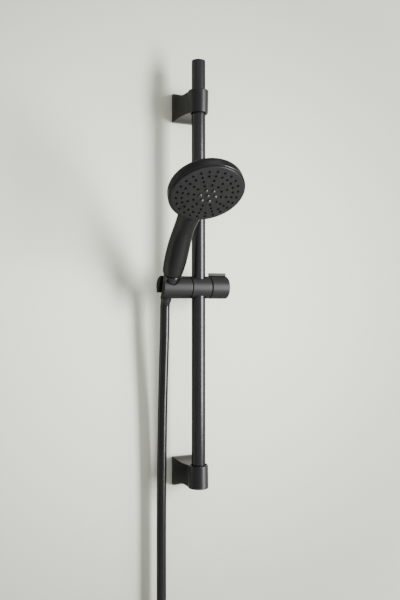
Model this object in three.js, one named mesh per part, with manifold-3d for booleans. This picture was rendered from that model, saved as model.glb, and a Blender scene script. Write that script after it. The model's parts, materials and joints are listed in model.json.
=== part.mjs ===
// A handheld shower head on its wall slide rail: rail, two brackets, slider with a lock knob,
// tilting holder, handset with a rotating spray face, and a 1.6 m hose.
// Millimetres. +X runs right along the wall, +Y goes into the wall, +Z is up.
// The origin is the centre of the upper bracket's wall face, so the wall is the plane Y = 0.
import * as THREE from 'three';
import { mergeVertices } from 'three/addons/utils/BufferGeometryUtils.js';
import Module from 'manifold-3d';

const wasm = await Module();
wasm.setup();

// ---------------------------------------------------------------- driving dimensions
const GAP = 0.3;            // clearance between neighbouring pieces
const BIG_GAP = 1;          // clearance where a looser fit is wanted
const ROUND = 20;           // segments round a large circle
const SMALL_ROUND = 10;     // segments round a small circle
const HEAD_ROUND = 32;      // segments round the head
const JET_SIDES = 4;        // segments round a spray jet
const HEX = 6;
const degrees = (value) => value * Math.PI / 180;

const RAIL = { r: 10, bore: 8.8, y: -50, top: 59.4, bottom: -558.2, plugDepth: 14, bottomPlug: 12 };
const BRACKET = {
  base: 43, ringR: 14.4, draft: 0.3, height: 33.2, bushR: 11.4, roof: 4, chamfer: 0.8, lowerZ: -547.1,
};
// The outline of a bracket's arm: [half size, distance from the wall] at its sides, its waisted
// outer face (the top one on the upper bracket) and its inner face. Smooth past the square base.
const ARM = {
  side: [[21.5, 11], [17.6, 30], [13.6, 50]],
  outer: [[21.5, 4], [17, 18], [13.6, 28], [14.6, 40], [16.2, 50]],
  inner: [[21.5, 6.5], [18.3, 20], [16.9, 35], [16.6, 50]],
  steps: 8,
};
const PLATE = { side: 30, thick: 5, screwZ: 9.5 };
const WALL_SCREW = { headR: 4.2, shankR: 2.1, holeR: 2.4, counterR: 4.6 };
const GRUB = { r: 1.9, holeR: 2.2, socketR: 1, socketDepth: 2, recess: 0.6, y: -2.9 };
const SLIDER = {
  z: -270.9, r: 16.35, left: -15, right: 15.2, boreR: 12.3, boreHalf: 10.4, chamfer: 0.5,
  hubR: 8, rightHubR: 11, rightHub: 27,
};
const SLEEVE_SLOT = { wide: 1.2, deep: 6 };
const KNOB = {
  r: 16.65, left: 15.8, right: 44.2, chamfer: 1.2, finTop: 21.2, finRoot: 10, finThick: 3,
  hollowR: 13.2, hollowTo: 28.5,
};
const CLAMP_SCREW = { r: 4, tipR: 3.2, from: 19, to: 38.1, boreR: 4.3, knobR: 4.4, knobTo: 38.4 };
const KNOB_WASHER = { inner: 4.8, outer: 10.6, from: 27.3, to: 28.2 };
const SHOE = { r: 4, from: 10, to: 17.6, bore: 8 };
const HOLDER = { x: -46.5, left: -60, right: -15.6, slot: 15, hubDepth: 28.4, chamfer: 0.8, slack: 0.35 };
const SOCKET = { flareFrom: 14.6, flareTo: 18, flare: 1 };
const PIVOT = {
  headR: 4.4, head: [-15.3, -12.9], shankR: 2.5, tip: -32.8,
  counterR: 4.8, counter: -15.7, boreR: 2.8, boreTo: -33.2,
};
const FRICTION_WASHER = { outer: 7.8, thick: 1.2 };
const LEAN = degrees(32.5);         // how far the handset leans forward of upright
const TWIST = degrees(-2.93);       // how far the handset is turned in its holder
const FACE_LIFT = degrees(36.15);   // how far the spray face is tipped up from facing the floor
const HEAD = {
  forward: 134.9, up: 116.8, mouthR: 46.6, faceR: 46.3, lipR: 48.2, proud: 1.7, crown: 2.4,
};
const HANDLE_START = 23;            // where the casing starts, along the handset's axis
const MOUTH = { r: 9, from: 18, to: 46 };
const NOZZLE_RINGS = [[40.4, 24], [33.3, 24], [25.9, 12], [18.5, 12]];   // radius, number of jets
const NOZZLE = { holeR: 1.5, tipR: 0.9, rootR: 1.1, stands: 0.5 };
const CENTRE_JETS = { ring: [10.2, 6], size: 1.9, holeR: 2.6, stands: 0.9 };
const NUT = {
  top: 22, bottom: -15, topR: 12, bottomR: 8.95, boreR: 5.5, threadR: 9.55, floor: 3.5, bead: 3,
};
const HOSE = { r: 7, length: 1600, boreR: 3.6, collarR: 7.65, collarEnd: -23 };
const COIL = { r: 75, turns: 2, pitch: 15.2, entryR: 60, top: -500, exitAngle: degrees(160), round: 4 };
const TIE = { slack: 0.8, wall: 1.4, wide: 7, at: [0, 270] };

// ---------------------------------------------------------------- finishes
function finish(color, roughness, metalness = 0) {
  return new THREE.MeshStandardMaterial({ color, roughness, metalness });
}
const MATT_METAL = finish(0x17181a, 0.42, 0.6);
const MATT_PLASTIC = finish(0x1b1c1e, 0.5);
const FACE_GREY = finish(0x2c2d30, 0.45);
const RUBBER = finish(0x0c0c0d, 0.7);
const JET_GLOSS = finish(0x26272a, 0.12, 0.3);
const HOSE_BLACK = finish(0x141516, 0.38);
const ZINC = finish(0x9a9ca0, 0.35, 0.9);
const WHITE_PLASTIC = finish(0xd8d8d4, 0.5);

// ---------------------------------------------------------------- solids
function solid(geometry) {
  const g = geometry.clone();
  g.deleteAttribute('normal');
  g.deleteAttribute('uv');
  const merged = mergeVertices(g, 1e-4);
  return new wasm.Manifold(new wasm.Mesh({
    numProp: 3,
    vertProperties: new Float32Array(merged.attributes.position.array),
    triVerts: new Uint32Array(merged.index.array),
  }));
}

function toGeometry(manifold) {
  const mesh = manifold.getMesh();
  const g = new THREE.BufferGeometry();
  g.setAttribute('position', new THREE.BufferAttribute(new Float32Array(mesh.vertProperties), 3));
  g.setIndex(new THREE.BufferAttribute(new Uint32Array(mesh.triVerts), 1));
  g.computeVertexNormals();
  return g;
}

const join = (...geometries) => toGeometry(geometries.map(solid).reduce((a, b) => a.add(b)));
const cut = (base, ...tools) => toGeometry(tools.map(solid).reduce((a, b) => a.subtract(b), solid(base)));
const common = (a, b) => toGeometry(solid(a).intersect(solid(b)));

// A turned piece about Z from [radius, z] points. Open profiles start and end on the axis.
function turned(points, segments = ROUND) {
  const g = new THREE.LatheGeometry(points.map(([r, z]) => new THREE.Vector2(r, z)), segments);
  g.rotateX(Math.PI / 2);
  return g;
}
const rod = (r, z0, z1, segments = ROUND) => turned([[0, z0], [r, z0], [r, z1], [0, z1]], segments);
const pipe = (inner, outer, z0, z1, segments = ROUND) =>
  turned([[inner, z0], [outer, z0], [outer, z1], [inner, z1], [inner, z0]], segments);

function block(x, y, z, at = [0, 0, 0]) {
  return new THREE.BoxGeometry(x, y, z).translate(...at);
}

// Turns a piece made along +Z to run along a row axis.
const alongX = (g) => g.rotateY(Math.PI / 2);
const alongY = (g) => g.rotateX(-Math.PI / 2);

function outline(points) {
  return new THREE.Shape(points.map(([x, y]) => new THREE.Vector2(x, y)));
}

// Joins closed rings of points, given in order, into one capped skin.
function loft(rings) {
  const n = rings[0].length;
  const positions = rings.flat().flatMap((p) => [p.x, p.y, p.z]);
  const faces = [];
  for (let k = 0; k + 1 < rings.length; k++) {
    for (let i = 0; i < n; i++) {
      const a = k * n + i, b = k * n + (i + 1) % n;
      faces.push(a, b, b + n, a, b + n, a + n);
    }
  }
  for (const [ring, flip] of [[0, true], [rings.length - 1, false]]) {
    const centre = new THREE.Vector3();
    rings[ring].forEach((p) => centre.add(p));
    centre.divideScalar(n);
    const c = positions.length / 3;
    positions.push(centre.x, centre.y, centre.z);
    for (let i = 0; i < n; i++) {
      const a = ring * n + i, b = ring * n + (i + 1) % n;
      faces.push(...(flip ? [c, b, a] : [c, a, b]));
    }
  }
  const g = new THREE.BufferGeometry();
  g.setAttribute('position', new THREE.Float32BufferAttribute(positions, 3));
  g.setIndex(faces);
  return g;
}

// ---------------------------------------------------------------- placing
const assembly = new THREE.Group();

function add(parent, name, geometry, material) {
  const mesh = new THREE.Mesh(geometry, material);
  mesh.name = name;
  parent.add(mesh);
  return mesh;
}

function group(parent, x, y, z) {
  const g = new THREE.Group();
  g.position.set(x, y, z);
  parent.add(g);
  return g;
}

// ---------------------------------------------------------------- rail and wall brackets
function railParts() {
  const at = group(assembly, 0, RAIL.y, 0);
  const plugR = RAIL.bore - GAP;
  const capZ = RAIL.top + GAP, plugEnd = capZ - RAIL.plugDepth;
  add(at, 'rail_tube', pipe(RAIL.bore, RAIL.r, RAIL.bottom, RAIL.top), MATT_METAL);
  add(at, 'rail_top_plug', turned([
    [0, plugEnd], [plugR, plugEnd], [plugR, capZ], [RAIL.r, capZ], [RAIL.r, capZ + 0.8],
    [RAIL.r - 1, capZ + 1.6], [RAIL.r * 0.6, capZ + 2], [0, capZ + 2.2],
  ]), MATT_PLASTIC);
  add(at, 'rail_bottom_plug', rod(plugR, RAIL.bottom, RAIL.bottom + RAIL.bottomPlug), MATT_PLASTIC);
}

// One edge of the arm, from the wall to the ring: square at the base, then a smooth curve.
function armEdge(points, sign) {
  const curve = new THREE.SplineCurve(points.map(([half, out]) => new THREE.Vector2(sign * half, -out)));
  return [new THREE.Vector2(sign * points[0][0], 0), ...curve.getPoints(ARM.steps)];
}

function armOutline(right, left) {
  return new THREE.Shape([...armEdge(right, 1), ...armEdge(left, -1).reverse()]);
}

// The two outlines are drawn out this far, well past the bracket.
const PAST = 60;

// The arm is where its top view and its side view meet.
function bracketArm() {
  const settings = { depth: PAST, bevelEnabled: false };
  const top = new THREE.ExtrudeGeometry(armOutline(ARM.side, ARM.side), settings);
  const side = new THREE.ExtrudeGeometry(armOutline(ARM.inner, ARM.outer), settings);
  top.translate(0, 0, -PAST / 2);
  side.translate(0, 0, -PAST / 2).rotateY(Math.PI / 2);
  return common(top, side);
}

// The ring round the rail is a little narrower at its closed end.
function bracketRing() {
  const low = BRACKET.ringR - BRACKET.draft, high = BRACKET.ringR + BRACKET.draft;
  const half = BRACKET.height / 2, c = BRACKET.chamfer;
  return turned([
    [0, -half], [low - c, -half], [low, -half + c], [high, half - c], [high - c, half], [0, half],
  ]).translate(0, RAIL.y, 0);
}

function bracketBody(closedEnd) {
  const boreTop = closedEnd ? BRACKET.height / 2 - BRACKET.roof : PAST;
  const bore = rod(BRACKET.bushR + GAP, -PAST, boreTop).translate(0, RAIL.y, 0);
  const recess = block(PLATE.side + 2 * GAP, 2 * (PLATE.thick + GAP), PLATE.side + 2 * GAP);
  const screwHole = rod(GRUB.holeR, 0, PAST, SMALL_ROUND).translate(0, GRUB.y, 0);
  return cut(join(bracketArm(), bracketRing()), bore, recess, screwHole);
}

function wallPlate() {
  const plate = block(PLATE.side, PLATE.thick, PLATE.side, [0, -PLATE.thick / 2, 0]);
  const face = -PLATE.thick, { holeR, counterR } = WALL_SCREW;
  const holes = [-1, 1].map((s) => alongY(turned([
    [0, face - 1], [counterR, face - 1], [counterR, face + 0.6], [holeR, face + 2.8], [holeR, 1], [0, 1],
  ], SMALL_ROUND)).translate(0, 0, s * PLATE.screwZ));
  return cut(plate, ...holes);
}

// A countersunk screw with a dished head. Its shank ends at the wall's face.
function wallScrew() {
  const face = -PLATE.thick, { headR, shankR } = WALL_SCREW;
  return alongY(turned([
    [0, face + 1.4], [0.9, face + 0.2], [headR - 0.1, face + 0.2], [headR, face + 0.6],
    [shankR, face + 2.7], [shankR, 0], [0, 0],
  ], SMALL_ROUND));
}

function grubScrew() {
  const inner = PLATE.side / 2 + GAP, outer = BRACKET.base / 2 - GRUB.recess;
  const socket = rod(GRUB.socketR, outer - GRUB.socketDepth, outer + 1, HEX);
  return cut(rod(GRUB.r, inner, outer, SMALL_ROUND), socket).translate(0, GRUB.y, 0);
}

// The lower bracket is the upper one turned over, with a closed end to carry the rail.
function bracketParts(side, z, turnedOver) {
  const at = group(assembly, 0, 0, z);
  const over = turnedOver ? Math.PI : 0;
  add(at, `${side}_bracket`, bracketBody(turnedOver).rotateY(over), MATT_METAL);
  add(at, `${side}_wall_plate`, wallPlate(), ZINC);
  [['a', 1], ['b', -1]].forEach(([letter, sign]) => {
    add(at, `${side}_wall_screw_${letter}`, wallScrew().translate(0, 0, sign * PLATE.screwZ), ZINC);
  });
  add(at, `${side}_grub_screw`, grubScrew().rotateY(over), ZINC);
  const high = BRACKET.height / 2 - BRACKET.chamfer;
  const low = turnedOver ? BRACKET.roof + 0.6 - BRACKET.height / 2 : -high;
  const bush = pipe(RAIL.r + GAP, BRACKET.bushR, low, high).translate(0, RAIL.y, 0);
  add(at, `${side}_ring_bush`, bush, MATT_PLASTIC);
}

// ---------------------------------------------------------------- slider, knob and holder
// All of these are made about the slider's own axis, along X, with the rail upright through x = 0.
const slider = group(assembly, 0, RAIL.y, SLIDER.z);

function chamferedBar(r, x0, x1, c0, c1) {
  const sides = 24;
  return alongX(turned([
    [0, x0], [r - c0, x0], [r, x0 + c0], [r, x1 - c1], [r - c1, x1], [0, x1],
  ], sides));
}

function railSleeve() {
  const half = SLIDER.boreHalf - GAP;
  const slot = block(SLEEVE_SLOT.wide, SLEEVE_SLOT.deep, 4 * half, [0, SLIDER.boreR - 1, 0]);
  return cut(pipe(RAIL.r + GAP, SLIDER.boreR - GAP, -half, half), slot);
}

function sliderBody() {
  const body = join(
    chamferedBar(SLIDER.r, SLIDER.left, SLIDER.right, SLIDER.chamfer, SLIDER.chamfer),
    alongX(rod(SLIDER.hubR, 1.8 - HOLDER.hubDepth, SLIDER.left + 1)),
    alongX(rod(SLIDER.rightHubR, SLIDER.right - 1, SLIDER.rightHub)),
  );
  return cut(
    body,
    rod(RAIL.r + GAP + 0.1, -PAST, PAST),
    rod(SLIDER.boreR, -SLIDER.boreHalf, SLIDER.boreHalf),
    alongX(rod(CLAMP_SCREW.boreR, SHOE.bore, PAST, SMALL_ROUND)),
    alongX(rod(PIVOT.counterR, PIVOT.counter, -SHOE.bore, SMALL_ROUND)),
    alongX(rod(PIVOT.boreR, -PAST, -SHOE.bore, SMALL_ROUND)),
  );
}

function sliderParts() {
  add(slider, 'rail_sleeve', railSleeve(), WHITE_PLASTIC);
  add(slider, 'slider_body', sliderBody(), MATT_PLASTIC);
}

function knobShell() {
  const finLong = KNOB.right - KNOB.left - KNOB.chamfer, finTall = KNOB.finTop - KNOB.finRoot;
  const middle = [(KNOB.left + KNOB.right) / 2, 0, (KNOB.finTop + KNOB.finRoot) / 2];
  return cut(
    join(
      chamferedBar(KNOB.r, KNOB.left, KNOB.right, SLIDER.chamfer, KNOB.chamfer),
      block(finLong, KNOB.finThick, finTall, middle),
    ),
    alongX(rod(KNOB.hollowR, KNOB.left - 1, KNOB.hollowTo)),
    alongX(rod(CLAMP_SCREW.knobR, KNOB.hollowTo - 1, CLAMP_SCREW.knobTo, SMALL_ROUND)),
  );
}

function knobParts() {
  const { r, tipR, from, to } = CLAMP_SCREW;
  const screw = turned([[0, from], [tipR, from], [r, from + 1], [r, to], [0, to]], SMALL_ROUND);
  const washer = pipe(KNOB_WASHER.inner, KNOB_WASHER.outer, KNOB_WASHER.from, KNOB_WASHER.to);
  const shoe = cut(alongX(rod(SHOE.r, SHOE.from, SHOE.to, SMALL_ROUND)), rod(SLIDER.boreR, -10, 10, 48));
  add(slider, 'lock_knob', knobShell(), MATT_PLASTIC);
  add(slider, 'clamp_screw', alongX(screw), ZINC);
  add(slider, 'knob_washer', alongX(washer), WHITE_PLASTIC);
  add(slider, 'brake_shoe', shoe, WHITE_PLASTIC);
}

// Turns a piece made about +Z to lie on the handset's leaning axis.
const leaning = (g) => g.rotateX(LEAN);

// The holder's cone follows the cone nut. s runs up the handset's axis.
function socketR(s) {
  const slope = (NUT.topR - NUT.bottomR) / (NUT.top - NUT.bottom);
  return NUT.bottomR + slope * (s - NUT.bottom) + HOLDER.slack;
}

function holderCup() {
  const rim = socketR(SOCKET.flareFrom);
  const socket = turned([
    [0, -40], [socketR(-20), -40], [socketR(-20), -20], [rim, SOCKET.flareFrom],
    [rim + SOCKET.flare, SOCKET.flareTo], [rim + 2 * SOCKET.flare, PAST], [0, PAST],
  ]);
  return cut(
    chamferedBar(SLIDER.r, HOLDER.left, HOLDER.right, HOLDER.chamfer, SLIDER.chamfer),
    leaning(socket).translate(HOLDER.x, 0, 0),
    leaning(block(40, HOLDER.slot, 90, [-20, 0, 0])).translate(HOLDER.x, 0, 0),
    alongX(rod(SLIDER.hubR + GAP, -HOLDER.hubDepth, 0)),
    alongX(rod(PIVOT.boreR, PIVOT.boreTo, 0, SMALL_ROUND)),
  );
}

function holderParts() {
  const head = rod(PIVOT.headR, ...PIVOT.head, SMALL_ROUND);
  const screw = join(head, rod(PIVOT.shankR, PIVOT.tip, PIVOT.head[0] + 1, SMALL_ROUND));
  const from = GAP - HOLDER.hubDepth;
  const washer = pipe(PIVOT.boreR, FRICTION_WASHER.outer, from, from + FRICTION_WASHER.thick);
  add(slider, 'handset_holder', holderCup(), MATT_PLASTIC);
  add(slider, 'pivot_screw', alongX(screw), ZINC);
  add(slider, 'friction_washer', alongX(washer), RUBBER);
}

// ---------------------------------------------------------------- handset
// The handset's own frame: x as the row's, forward towards the room, up. Its origin is where the
// handset's axis crosses the slider's axis.
const handset = group(assembly, HOLDER.x, RAIL.y, SLIDER.z);

// The casing and all it holds stand turned a little in the holder.
const held = group(handset, 0, 0, 0);
held.quaternion.setFromAxisAngle(new THREE.Vector3(0, -Math.sin(LEAN), Math.cos(LEAN)), TWIST);
const inSection = (forward, up, x = 0) => new THREE.Vector3(x, -forward, up);

// Stations up the handle: forward, up, half width across, half depth front to back.
const axisPoint = (s) => [s * Math.sin(LEAN), s * Math.cos(LEAN)];
const HANDLE = [
  [...axisPoint(HANDLE_START), 12.9, 12.9], [...axisPoint(HANDLE_START + 1), 13.9, 13.9],
  [15.6, 24.6, 14.8, 14.8], [20.2, 32, 15.5, 15.5], [24.2, 38, 15.9, 15.9], [31.1, 48.9, 15.9, 15.9],
  [38.3, 59.7, 15.5, 15.5],
  [46.3, 70.1, 14.8, 14.8], [55.6, 80.3, 14.3, 14.1], [66.8, 90.2, 14.9, 13.9], [78, 99.5, 16.8, 13.4],
  [90, 108.8, 20, 11.4], [102, 118, 23.5, 8.8], [112, 125.7, 24, 5.8],
];

// Elliptical rings square to the line through the stations' centres.
function handleSkin(stations, inset, count) {
  const rings = stations.map(([f, u, across, deep], k) => {
    const [f0, u0] = stations[Math.max(0, k - 1)];
    const [f1, u1] = stations[Math.min(stations.length - 1, k + 1)];
    const along = new THREE.Vector2(f1 - f0, u1 - u0).normalize();
    return Array.from({ length: count }, (_, i) => {
      const a = 2 * Math.PI * i / count;
      const d = (deep - inset) * Math.sin(a);
      return inSection(f + along.y * d, u - along.x * d, (across - inset) * Math.cos(a));
    });
  });
  return loft(rings.map((ring) => ring.slice().reverse()));
}

// The head's axis points out of the spray face, forward and down. Profiles give radius and the
// height behind the face plane.
function onHead(g) {
  return g.rotateX(-FACE_LIFT).translate(0, -HEAD.forward, HEAD.up);
}
const HEAD_OUTER = [
  [0, 0], [47.5, 0], [49, 0.5], [49.8, 1.8], [50.2, 4.5], [50.1, 8.5], [49, 12.3], [45.6, 16.2], [39, 19.7],
  [28, 22.8], [14, 24.7], [0, 25.2],
];
const HEAD_INNER = [
  [0, -10], [HEAD.mouthR, -10], [HEAD.mouthR, 11.2], [42.8, 14.1], [36.4, 17.2], [25.8, 20.2], [13, 22],
  [0, 22.4],
];

function handsetShell() {
  const outer = join(handleSkin(HANDLE, 0, 18), onHead(turned(HEAD_OUTER, HEAD_ROUND)));
  const handleInside = handleSkin(HANDLE.slice(3, 13), 2.6, 12);
  const mouth = leaning(rod(MOUTH.r, MOUTH.from, MOUTH.to, 16));
  return cut(outer, handleInside, mouth, onHead(turned(HEAD_INNER, HEAD_ROUND)));
}

// The threaded tube in the handle's end, drawn without its thread.
const NIPPLE = [
  [5.6, 7.7], [8.6, 7.7], [9.2, 8.4], [9.2, 22], [8.6, 22.6], [8.6, 38], [7, 39], [5.6, 39], [5.6, 7.7],
];
const HOSE_FITTING = [
  [HOSE.boreR, HOSE.collarEnd], [HOSE.collarR, HOSE.collarEnd], [HOSE.collarR, NUT.bottom - 0.4],
  [5.1, NUT.bottom - 0.4], [5.1, 3.9], [9.1, 3.9], [9.1, 5.4], [HOSE.boreR, 5.4],
  [HOSE.boreR, HOSE.collarEnd],
];
const TUBE_BORE = 4, TUBE_R = 5.4;

function waterTube() {
  const line = new THREE.CatmullRomCurve3([
    ...[40, 45].map((s) => inSection(...axisPoint(s))),
    ...HANDLE.slice(5, 11).map(([f, u]) => inSection(f, u)), inSection(89, 106.6), inSection(100, 114.3),
  ]);
  const section = new THREE.Shape().absarc(0, 0, TUBE_R, 0, 2 * Math.PI);
  section.holes.push(new THREE.Path().absarc(0, 0, TUBE_BORE, 0, 2 * Math.PI, true));
  return new THREE.ExtrudeGeometry(section, {
    steps: 13, curveSegments: 4, extrudePath: line, bevelEnabled: false,
  });
}

function handsetParts() {
  const restrictor = cut(rod(5.2, 10, 13, SMALL_ROUND), rod(1.6, 9, 14, SMALL_ROUND));
  add(held, 'handset_shell', handsetShell(), MATT_PLASTIC);
  add(held, 'inlet_nipple', leaning(turned(NIPPLE, 16)), MATT_PLASTIC);
  add(held, 'flow_restrictor', leaning(restrictor), RUBBER);
  add(held, 'hose_washer', leaning(pipe(4.4, 9.1, 5.7, 7.4)), RUBBER);
  add(held, 'water_tube', waterTube(), WHITE_PLASTIC);
  add(handset, 'hose_end_fitting', leaning(turned(HOSE_FITTING, 16)), MATT_METAL);
}

const DETENT = { at: 18, pocketR: 2.7, ballR: 2.2, ballZ: 14.7, springR: [1.4, 2.2], springZ: [17.1, 18.8] };
const HOUSING = [[10.4, 12.7], [25.5, 12.7], [25.5, 19.6], [10.4, 19.6], [10.4, 12.7]];

function headInside() {
  const inDetent = (g) => onHead(g.translate(DETENT.at, 0, 0));
  const pocket = rod(DETENT.pocketR, 12, 19, SMALL_ROUND).translate(DETENT.at, 0, 0);
  const ball = new THREE.SphereGeometry(DETENT.ballR, 10, 8).translate(0, 0, DETENT.ballZ);
  add(held, 'diverter_housing', onHead(cut(turned(HOUSING, 24), pocket)), WHITE_PLASTIC);
  add(held, 'detent_ball', inDetent(ball), ZINC);
  add(held, 'detent_spring', inDetent(pipe(...DETENT.springR, ...DETENT.springZ, SMALL_ROUND)), ZINC);
}

// ---------------------------------------------------------------- rotating spray face
// The domed plate sits in the casing's mouth, and its lip covers the casing's rim.
const crownAt = (r) => -HEAD.proud - HEAD.crown * (1 - (r / HEAD.lipR) ** 2);

function jetPlaces([radius, count]) {
  return Array.from({ length: count }, (_, i) => {
    const a = 2 * Math.PI * i / count;
    return [radius * Math.cos(a), radius * Math.sin(a)];
  });
}
const RAIN_PLACES = NOZZLE_RINGS.flatMap(jetPlaces);
const CENTRE_PLACES = [[0, 0], ...jetPlaces(CENTRE_JETS.ring)];

function atPlaces(places, make) {
  return places.map(([x, y]) => make(crownAt(Math.hypot(x, y))).translate(x, y, 0));
}
const centreHoles = () => atPlaces(CENTRE_PLACES, () => rod(CENTRE_JETS.holeR, -8, 8, HEX));

function sprayPlate() {
  const front = [0, 20, 36, HEAD.lipR].map((r) => [r, crownAt(r) + 0.4]);
  const back = [[HEAD.lipR, -GAP], [HEAD.faceR, -GAP], [HEAD.faceR, 3], [0, 3]];
  const plate = turned([...front, ...back], HEAD_ROUND);
  const rainHoles = atPlaces(RAIN_PLACES, () => rod(NOZZLE.holeR, -8, 8, JET_SIDES));
  return cut(plate, ...rainHoles, ...centreHoles());
}

// One rubber sheet with all the rain jets standing on it.
function nozzleMat() {
  const jets = atPlaces(RAIN_PLACES, (surface) => turned([
    [0, surface - NOZZLE.stands], [NOZZLE.tipR, surface - NOZZLE.stands], [NOZZLE.rootR, 3.6], [0, 3.6],
  ], JET_SIDES));
  return cut(join(rod(45, 3.3, 5, HEAD_ROUND), ...jets), ...centreHoles());
}

function centreJets() {
  const size = CENTRE_JETS.size;
  const jets = atPlaces(CENTRE_PLACES, (surface) => {
    const tip = surface - CENTRE_JETS.stands;
    return turned([[0, tip + 1], [1, tip], [size, tip + 0.5], [size, 5.6], [0, 5.6]], HEX);
  });
  return join(rod(14, 5.3, 7), ...jets);
}

function sprayFaceParts() {
  const chamber = cut(
    join(rod(45, 5.3, 9, HEAD_ROUND), rod(20, 8.5, 12.3, 24), rod(10, 12, 16)),
    rod(14.4, 4, 7.4), rod(4, 0, 20, 12),
  );
  add(held, 'spray_face', onHead(sprayPlate()), FACE_GREY);
  add(held, 'nozzle_mat', onHead(nozzleMat()), RUBBER);
  add(held, 'centre_jets', onHead(centreJets()), JET_GLOSS);
  add(held, 'spray_chamber', onHead(chamber), WHITE_PLASTIC);
  add(held, 'housing_gasket', onHead(pipe(10.3, 12.2, 19.9, 21.2, 16)), RUBBER);
}

// ---------------------------------------------------------------- hose
function coneNut() {
  const { top, bottom, topR, bottomR, boreR, threadR, floor, bead } = NUT;
  add(handset, 'cone_nut', leaning(turned([
    [boreR, bottom], [bottomR - 0.5, bottom], [bottomR, bottom + 0.5], [topR, top - bead],
    [topR - 0.2, top - 1.2], [topR - 1.2, top], [threadR, top], [threadR, floor], [boreR, floor],
    [boreR, bottom],
  ])), MATT_METAL);
}

// The hose's free run in the plane x = HOLDER.x, as [towards the wall, up] from the slider's axis.
const HOSE_RUN = [
  [13.9, -21.8], [15.2, -25.5], [15.9, -31], [16.1, -39], [16.4, -50], [17.3, -70], [18.9, -91],
  [21.6, -130], [24.8, -179], [27.2, -237], [29, -295], [29.8, -354], [29.8, -410], [29.8, -460],
];
const COIL_BEND = Math.acos(1 - COIL.r / (COIL.r + COIL.entryR));
const COIL_Z = COIL.top - (COIL.r + COIL.entryR) * Math.sin(COIL_BEND);
const COIL_Y = HOSE_RUN[HOSE_RUN.length - 1][0];
const COIL_CLEAR = COIL.r + 2 * HOSE.r + BIG_GAP;   // the run and the tail start outside this radius

function hoseRun() {
  const [s0f, s0u] = axisPoint(HOSE.collarEnd - GAP);
  const points = [new THREE.Vector3(0, -s0f, s0u), ...HOSE_RUN.map(([y, z]) => new THREE.Vector3(0, y, z))];
  points.push(new THREE.Vector3(0, COIL_Y, COIL.top));
  const step = 0.12;
  for (let a = step; a < COIL_BEND; a += step) {
    const x = -COIL.entryR * (1 - Math.cos(a)), z = COIL.top - COIL.entryR * Math.sin(a);
    if (Math.hypot(x, z - COIL_Z) > COIL_CLEAR + GAP) points.push(new THREE.Vector3(x, COIL_Y, z));
  }
  const shape = new THREE.Shape().absarc(0, 0, HOSE.r, 0, 2 * Math.PI);
  add(handset, 'hose_run', new THREE.ExtrudeGeometry(shape, {
    steps: 24, curveSegments: 5, extrudePath: new THREE.CatmullRomCurve3(points), bevelEnabled: false,
  }), HOSE_BLACK);
}

// The turns touch each other, so the coil is one rounded ring with two straps round it.
function coilParts() {
  const skin = HOSE.r + 0.2, round = COIL.round;
  const near = COIL_Y - COIL.turns * COIL.pitch - skin, far = COIL_Y + skin;
  const inner = COIL.r - skin, outer = COIL.r + skin;
  const ring = alongY(turned([
    [inner, near + round], [inner + round, near], [outer - round, near], [outer, near + round],
    [outer, far - round], [outer - round, far], [inner + round, far], [inner, far - round],
    [inner, near + round],
  ], 28));
  add(handset, 'hose_coil', ring.translate(0, 0, COIL_Z), HOSE_BLACK);
  const high = 2 * (skin + TIE.slack), deep = far - near + 2 * TIE.slack;
  TIE.at.forEach((place, i) => {
    const outside = block(high + 2 * TIE.wall, deep + 2 * TIE.wall, TIE.wide);
    const tie = cut(outside, block(high, deep, 2 * TIE.wide));
    tie.translate(COIL.r, (near + far) / 2, 0).rotateY(-degrees(place)).translate(0, 0, COIL_Z);
    add(handset, `coil_tie_${i + 1}`, tie, RUBBER);
  });
}

// The hose's far end leaves the coil straight, along the tangent at the exit angle.
function runLength() {
  const [f, u] = axisPoint(HOSE.collarEnd);
  const points = [[-f, u], ...HOSE_RUN, [COIL_Y, COIL.top]].map(([y, z]) => new THREE.Vector3(0, y, z));
  return new THREE.CatmullRomCurve3(points).getLength();
}

function hoseEnd() {
  const a = COIL.exitAngle;
  const coiled = COIL.r * (a - Math.PI + COIL_BEND + 2 * Math.PI * COIL.turns);
  const tail = HOSE.length - runLength() - COIL.entryR * COIL_BEND - coiled;
  const along = new THREE.Vector3(-Math.sin(a), 0, Math.cos(a));
  const at = new THREE.Group();
  at.position.set(COIL.r * Math.cos(a), COIL_Y - COIL.turns * COIL.pitch, COIL_Z + COIL.r * Math.sin(a));
  at.position.addScaledVector(along, tail);
  at.quaternion.setFromUnitVectors(new THREE.Vector3(0, 0, 1), along);
  handset.add(at);
  return { at, tail };
}
const FERRULE = [
  [HOSE.boreR, 0], [HOSE.collarR, 0], [HOSE.collarR, 9], [5.2, 9], [5.2, 22], [9.6, 22], [9.6, 23.6],
  [HOSE.boreR, 23.6], [HOSE.boreR, 0],
];
const END_NUT = [
  [5.5, 12], [12.4, 12], [13.9, 13.5], [13.9, 31.5], [12.9, 33], [10.5, 33], [10.5, 21.6], [5.5, 21.6],
  [5.5, 12],
];

function hoseEndParts() {
  const { at, tail } = hoseEnd();
  const clear = Math.sqrt(COIL_CLEAR ** 2 - COIL.r ** 2);
  add(at, 'hose_tail', rod(HOSE.r, clear - tail, -GAP, 12), HOSE_BLACK);
  add(at, 'end_ferrule', turned(FERRULE, 16), MATT_METAL);
  add(at, 'end_nut', common(turned(END_NUT, 16), rod(END_NUT[2][0], 10, 35, HEX)), MATT_METAL);
  add(at, 'end_washer', pipe(4.6, 9.8, 24, 26), RUBBER);
}

railParts();
bracketParts('upper', 0, false);
bracketParts('lower', BRACKET.lowerZ, true);
sliderParts();
knobParts();
holderParts();
handsetParts();
headInside();
sprayFaceParts();
coneNut();
hoseRun();
coilParts();
hoseEndParts();

export default assembly;
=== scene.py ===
"""A handheld shower head on its wall slide rail: the looks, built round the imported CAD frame."""
import json
import math

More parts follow.
